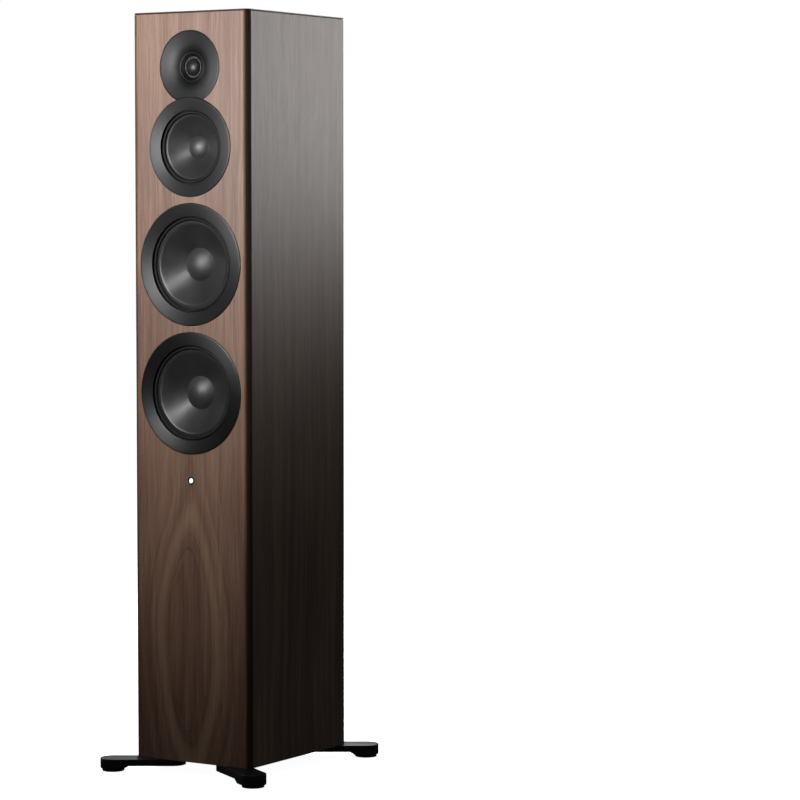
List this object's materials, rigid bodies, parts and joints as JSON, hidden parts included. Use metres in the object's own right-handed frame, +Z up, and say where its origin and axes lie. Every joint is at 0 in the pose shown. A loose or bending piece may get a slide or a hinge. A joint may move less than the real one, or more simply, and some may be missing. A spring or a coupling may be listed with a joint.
{
  "type": "floorstanding loudspeaker",
  "caption": "Tall slim loudspeaker: walnut cabinet, tweeter, midrange and woofers with black trim rings, status light, rear amplifier panel and splayed outrigger feet.",
  "frame": {"origin": "on the floor, under the centre of the cabinet", "axes": "+Z up, -Y towards the listener (the front with the drivers), +X to the right seen from the front"},
  "size_m": [0.302, 0.352, 1.16],
  "materials": {
    "walnut_veneer": "satin lacquered walnut veneer, vertical grain",
    "raw_board": "unfinished fibreboard",
    "black_board": "black painted fibreboard",
    "ring_black": "satin black, turned",
    "basket_black": "matte black die casting",
    "cone_black": "matte black mineral-filled polymer",
    "dome_black": "coated soft dome",
    "surround_rubber": "soft black rubber",
    "spider_cloth": "impregnated cloth",
    "coil_copper": "copper winding",
    "motor_iron": "ferrite magnet and plated steel plates",
    "fastener_steel": "black zinc",
    "gloss_black": "gloss black plastic",
    "panel_black": "black anodised aluminium",
    "light_lens": "clear white lens, emissive when on",
    "circuit_green": "circuit board with parts",
    "supply_blue": "circuit board with transformer",
    "matte_black": "matte black plastic",
    "socket_gold": "gold plated",
    "socket_steel": "shielded socket",
    "wire_red": "insulated wire",
    "foot_black": "gloss black painted casting",
    "pad_rubber": "black rubber pad on a steel stud",
    "foam_grey": "open-cell damping foam"
  },
  "bodies": {
    "root": {"front_baffle": "walnut_veneer", "left_side_panel": "walnut_veneer", "right_side_panel": "walnut_veneer", "top_panel": "walnut_veneer", "bottom_panel": "walnut_veneer", "rear_panel": "black_board", "window_braces": "raw_board", "mid_chamber": "raw_board", "damping_foam": "foam_grey", "tweeter_faceplate": "ring_black", "tweeter_surround": "surround_rubber", "tweeter_motor": "motor_iron", "tweeter_rear_cup": "matte_black", "panel_screws": "fastener_steel", "foot_bolts": "fastener_steel", "status_light_bezel": "gloss_black", "status_light_lens": "light_lens", "amp_panel": "panel_black", "amp_board": "circuit_green", "power_supply": "supply_blue", "mains_inlet": "matte_black", "phono_sockets": "socket_gold", "link_socket": "socket_steel", "wiring_loom": "wire_red", "mid_trim_ring": "ring_black", "mid_basket": "basket_black", "mid_surround": "surround_rubber", "mid_spider": "spider_cloth", "mid_motor": "motor_iron", "woofer_upper_trim_ring": "ring_black", "woofer_upper_basket": "basket_black", "woofer_upper_surround": "surround_rubber", "woofer_upper_spider": "spider_cloth", "woofer_upper_motor": "motor_iron", "woofer_lower_trim_ring": "ring_black", "woofer_lower_basket": "basket_black", "woofer_lower_surround": "surround_rubber", "woofer_lower_spider": "spider_cloth", "woofer_lower_motor": "motor_iron", "outrigger_front_left": "foot_black", "outrigger_front_right": "foot_black", "outrigger_rear_left": "foot_black", "outrigger_rear_right": "foot_black"},
    "mid_diaphragm": {"mid_cone": "cone_black", "mid_dust_cap": "cone_black", "mid_voice_coil": "coil_copper"},
    "woofer_upper_diaphragm": {"woofer_upper_cone": "cone_black", "woofer_upper_dust_cap": "cone_black", "woofer_upper_voice_coil": "coil_copper"},
    "woofer_lower_diaphragm": {"woofer_lower_cone": "cone_black", "woofer_lower_dust_cap": "cone_black", "woofer_lower_voice_coil": "coil_copper"},
    "tweeter_diaphragm": {"tweeter_dome": "dome_black", "tweeter_voice_coil": "coil_copper"},
    "power_rocker": {"power_switch": "gloss_black"},
    "pairing_button": {"pair_button": "matte_black"},
    "foot_front_left": {"levelling_foot_front_left": "pad_rubber"},
    "foot_front_right": {"levelling_foot_front_right": "pad_rubber"},
    "foot_rear_left": {"levelling_foot_rear_left": "pad_rubber"},
    "foot_rear_right": {"levelling_foot_rear_right": "pad_rubber"}
  },
  "joints": [
    {"name": "woofer_lower_travel", "type": "slide", "parent": "root", "child": "woofer_lower_diaphragm", "axis": [0, -1, 0], "range_m": [-0.004, 0.004], "stiffness_N_per_m": 1200, "deforming": ["woofer_lower_surround", "woofer_lower_spider"]},
    {"name": "woofer_upper_travel", "type": "slide", "parent": "root", "child": "woofer_upper_diaphragm", "axis": [0, -1, 0], "range_m": [-0.004, 0.004], "stiffness_N_per_m": 1200, "deforming": ["woofer_upper_surround", "woofer_upper_spider"]},
    {"name": "mid_travel", "type": "slide", "parent": "root", "child": "mid_diaphragm", "axis": [0, -1, 0], "range_m": [-0.002, 0.002], "stiffness_N_per_m": 900, "deforming": ["mid_surround", "mid_spider"]},
    {"name": "tweeter_travel", "type": "slide", "parent": "root", "child": "tweeter_diaphragm", "axis": [0, -1, 0], "range_m": [-0.0003, 0.0003], "stiffness_N_per_m": 600, "deforming": ["tweeter_surround"]},
    {"name": "power_rocker_tilt", "type": "hinge", "parent": "root", "child": "power_rocker", "pos_m": [-0.034, 0.1285, 0.126], "axis": [-1, 0, 0], "range_deg": [0, 20]},
    {"name": "pairing_button_press", "type": "slide", "parent": "root", "child": "pairing_button", "axis": [0, -1, 0], "range_m": [0, 0.001], "stiffness_N_per_m": 400, "springref_m": -0.002},
    {"name": "foot_front_left_level", "type": "slide", "parent": "root", "child": "foot_front_left", "axis": [0, 0, -1], "range_m": [0, 0.006]},
    {"name": "foot_front_right_level", "type": "slide", "parent": "root", "child": "foot_front_right", "axis": [0, 0, -1], "range_m": [0, 0.006]},
    {"name": "foot_rear_left_level", "type": "slide", "parent": "root", "child": "foot_rear_left", "axis": [0, 0, -1], "range_m": [0, 0.006]},
    {"name": "foot_rear_right_level", "type": "slide", "parent": "root", "child": "foot_rear_right", "axis": [0, 0, -1], "range_m": [0, 0.006]}
  ]
}
